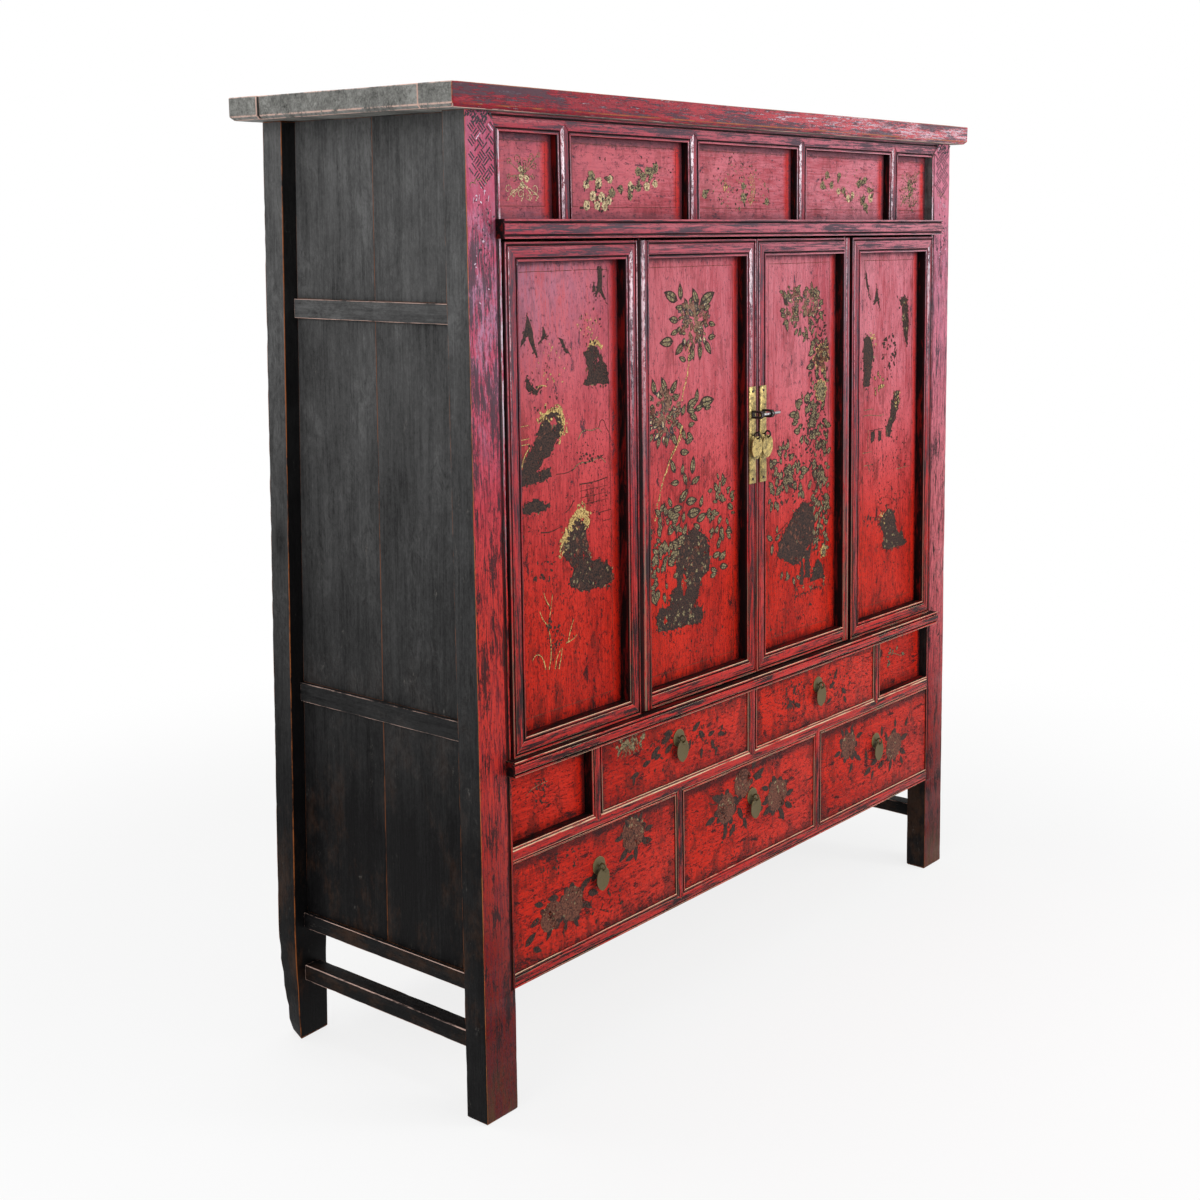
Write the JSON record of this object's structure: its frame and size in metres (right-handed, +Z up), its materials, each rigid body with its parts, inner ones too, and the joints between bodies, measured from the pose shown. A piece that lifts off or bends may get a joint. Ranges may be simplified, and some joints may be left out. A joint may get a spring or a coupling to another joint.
{
  "type": "chinese wedding cabinet",
  "caption": "Tall lacquered cupboard on leaning legs: pivot doors between lift-out panels, a painted frieze above and rows of drawers with hanging leaf pulls below.",
  "frame": {"origin": "centre of the overall box on the floor", "axes": "+Z up, the front with its doors and drawers faces -Y, +X to the right as seen from the front"},
  "size_m": [1.644, 0.5526, 1.717],
  "materials": {
    "red_lacquer": "aged red lacquer with worn patches and faded painting",
    "frame_lacquer": "darker red lacquer, black in the grooves and worn pale on the arrises",
    "leg_lacquer": "purple-red lacquer mottled with black",
    "top_lacquer": "dark lacquer, red along the front edge and worn grey at the ends",
    "dark_wood": "charcoal black lacquer worn to orange-brown on the edges",
    "bare_wood": "dry unfinished softwood",
    "brass": "tarnished hand-beaten brass",
    "forged_iron": "hand-forged iron, blackened"
  },
  "bodies": {
    "cabinet": {"top_planks": "top_lacquer", "leg_front_left": "leg_lacquer", "leg_front_right": "leg_lacquer", "leg_rear_left": "dark_wood", "leg_rear_right": "dark_wood", "side_rails_left": "dark_wood", "side_rails_right": "dark_wood", "side_stretchers": "dark_wood", "side_boards_left": "dark_wood", "side_boards_right": "dark_wood", "top_rail_front": "frame_lacquer", "head_rail": "frame_lacquer", "sill_rail": "frame_lacquer", "mid_rail": "frame_lacquer", "base_rail": "frame_lacquer", "frieze_posts": "frame_lacquer", "frieze_boards": "red_lacquer", "row_panels": "red_lacquer", "drawer_posts": "frame_lacquer", "rear_rails": "bare_wood", "rear_boards": "bare_wood", "cupboard_floor": "bare_wood", "inner_shelf": "bare_wood", "bearers": "bare_wood", "drawer_runners": "bare_wood"},
    "door_left": {"door_frame_left": "frame_lacquer", "door_board_left": "red_lacquer", "lock_plate_left": "brass", "lock_staples_left": "forged_iron"},
    "door_pull_left": {"door_pull_left": "brass"},
    "panel_left": {"panel_frame_left": "frame_lacquer", "panel_board_left": "red_lacquer"},
    "door_right": {"door_frame_right": "frame_lacquer", "door_board_right": "red_lacquer", "lock_plate_right": "brass", "lock_staples_right": "forged_iron"},
    "door_pull_right": {"door_pull_right": "brass"},
    "panel_right": {"panel_frame_right": "frame_lacquer", "panel_board_right": "red_lacquer"},
    "locking_pin": {"locking_pin": "forged_iron"},
    "drawer_upper_left": {"drawer_front_upper_left": "red_lacquer", "drawer_box_upper_left": "bare_wood", "pull_rose_upper_left": "brass"},
    "pull_upper_left": {"pull_leaf_upper_left": "brass"},
    "drawer_upper_right": {"drawer_front_upper_right": "red_lacquer", "drawer_box_upper_right": "bare_wood", "pull_rose_upper_right": "brass"},
    "pull_upper_right": {"pull_leaf_upper_right": "brass"},
    "drawer_lower_left": {"drawer_front_lower_left": "red_lacquer", "drawer_box_lower_left": "bare_wood", "pull_rose_lower_left": "brass"},
    "pull_lower_left": {"pull_leaf_lower_left": "brass"},
    "drawer_lower_centre": {"drawer_front_lower_centre": "red_lacquer", "drawer_box_lower_centre": "bare_wood", "pull_rose_lower_centre": "brass"},
    "pull_lower_centre": {"pull_leaf_lower_centre": "brass"},
    "drawer_lower_right": {"drawer_front_lower_right": "red_lacquer", "drawer_box_lower_right": "bare_wood", "pull_rose_lower_right": "brass"},
    "pull_lower_right": {"pull_leaf_lower_right": "brass"}
  },
  "joints": [
    {"name": "door_left_pivot", "type": "hinge", "parent": "cabinet", "child": "door_left", "pos_m": [-0.34442, -0.23517, 1.058], "axis": [-0.01, -0.0203, -0.9997], "range_deg": [0, 90]},
    {"name": "door_right_pivot", "type": "hinge", "parent": "cabinet", "child": "door_right", "pos_m": [0.34442, -0.23517, 1.058], "axis": [-0.01, 0.0203, 0.9997], "range_deg": [0, 90]},
    {"name": "door_pull_left_swing", "type": "hinge", "parent": "door_left", "child": "door_pull_left", "pos_m": [-0.01, -0.26241, 1.11], "axis": [-1, 0, 0], "range_deg": [-8, 100]},
    {"name": "door_pull_right_swing", "type": "hinge", "parent": "door_right", "child": "door_pull_right", "pos_m": [0.026, -0.26241, 1.11], "axis": [-1, 0, 0], "range_deg": [-8, 100]},
    {"name": "locking_pin_slide", "type": "slide", "parent": "door_right", "child": "locking_pin", "axis": [-1, 0, 0], "range_m": [0, 0.02]},
    {"name": "panel_left_lift_out", "type": "slide", "parent": "cabinet", "child": "panel_left", "axis": [0, -1, 0], "range_m": [0, 0.06]},
    {"name": "panel_right_lift_out", "type": "slide", "parent": "cabinet", "child": "panel_right", "axis": [0, -1, 0], "range_m": [0, 0.06]},
    {"name": "drawer_upper_left_slide", "type": "slide", "parent": "cabinet", "child": "drawer_upper_left", "axis": [0, -1, 0], "range_m": [0, 0.32]},
    {"name": "pull_upper_left_swing", "type": "hinge", "parent": "drawer_upper_left", "child": "pull_upper_left", "pos_m": [-0.2445, -0.26382, 0.558], "axis": [-1, 0, 0], "range_deg": [-8, 100]},
    {"name": "drawer_upper_right_slide", "type": "slide", "parent": "cabinet", "child": "drawer_upper_right", "axis": [0, -1, 0], "range_m": [0, 0.32]},
    {"name": "pull_upper_right_swing", "type": "hinge", "parent": "drawer_upper_right", "child": "pull_upper_right", "pos_m": [0.2445, -0.26382, 0.558], "axis": [-1, 0, 0], "range_deg": [-8, 100]},
    {"name": "drawer_lower_left_slide", "type": "slide", "parent": "cabinet", "child": "drawer_lower_left", "axis": [0, -1, 0], "range_m": [0, 0.32]},
    {"name": "pull_lower_left_swing", "type": "hinge", "parent": "drawer_lower_left", "child": "pull_lower_left", "pos_m": [-0.48781, -0.26749, 0.377], "axis": [-1, 0, 0], "range_deg": [-8, 100]},
    {"name": "drawer_lower_centre_slide", "type": "slide", "parent": "cabinet", "child": "drawer_lower_centre", "axis": [0, -1, 0], "range_m": [0, 0.32]},
    {"name": "pull_lower_centre_swing", "type": "hinge", "parent": "drawer_lower_centre", "child": "pull_lower_centre", "pos_m": [0, -0.26749, 0.377], "axis": [-1, 0, 0], "range_deg": [-8, 100]},
    {"name": "drawer_lower_right_slide", "type": "slide", "parent": "cabinet", "child": "drawer_lower_right", "axis": [0, -1, 0], "range_m": [0, 0.32]},
    {"name": "pull_lower_right_swing", "type": "hinge", "parent": "drawer_lower_right", "child": "pull_lower_right", "pos_m": [0.48781, -0.26749, 0.377], "axis": [-1, 0, 0], "range_deg": [-8, 100]}
  ]
}
